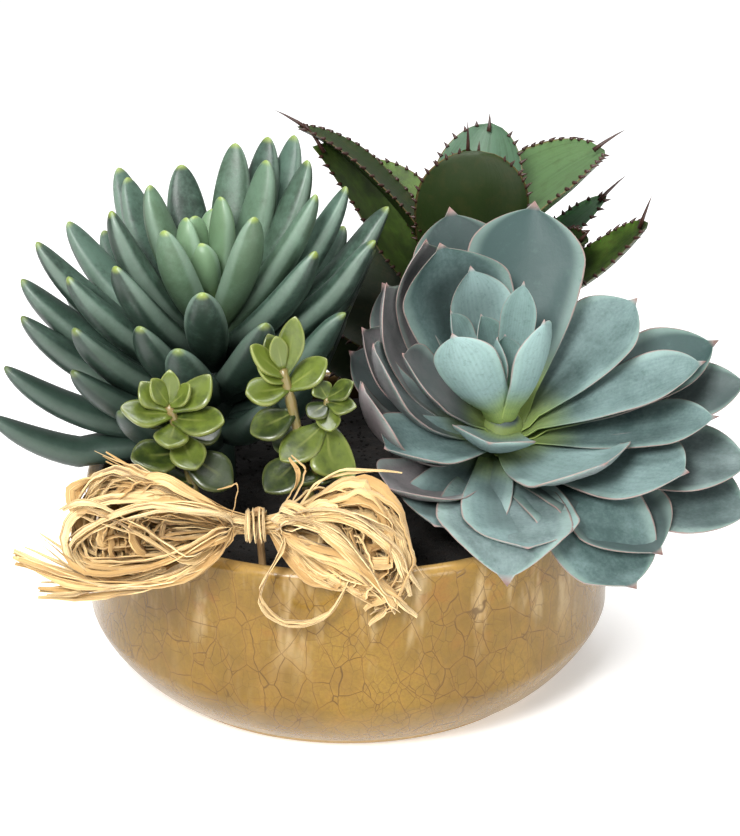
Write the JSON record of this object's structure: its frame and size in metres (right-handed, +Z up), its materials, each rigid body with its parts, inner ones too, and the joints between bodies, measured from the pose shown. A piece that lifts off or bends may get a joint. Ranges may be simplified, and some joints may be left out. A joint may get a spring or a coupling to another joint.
{
  "type": "succulent dish garden",
  "caption": "Low round glazed bowl planted with a finger-leaved rosette, a broad-leaved rosette, a toothed agave and jade-like sprigs, with a raffia bow over the front rim.",
  "frame": {"origin": "centre of the underside of the bowl's foot", "axes": "+Z up along the bowl's axis, -Y towards the front, where the bow is, +X to the right seen from the front"},
  "size_m": [0.2556, 0.2179, 0.1807],
  "materials": {
    "glaze": "glossy mustard glaze with fine brown crackle, bare pale foot",
    "soil": "dark damp potting mix",
    "blue_leaf": "smooth waxy blue-green leaf",
    "echeveria_leaf": "powdery grey-green leaf with pink margins",
    "agave_leaf": "satin green leaf with dark spines",
    "jade_leaf": "glossy light-green leaf",
    "raffia": "dry straw-coloured fibre",
    "pick_wood": "plain wood"
  },
  "bodies": {
    "root": {"bowl": "glaze", "soil": "soil", "blue_chalk_rosette": "blue_leaf", "echeveria": "echeveria_leaf", "agave": "agave_leaf", "jade_sprig_left": "jade_leaf", "jade_sprig_right": "jade_leaf", "raffia_bow": "raffia", "raffia_tie": "raffia", "bow_pick": "pick_wood"}
  },
  "joints": []
}
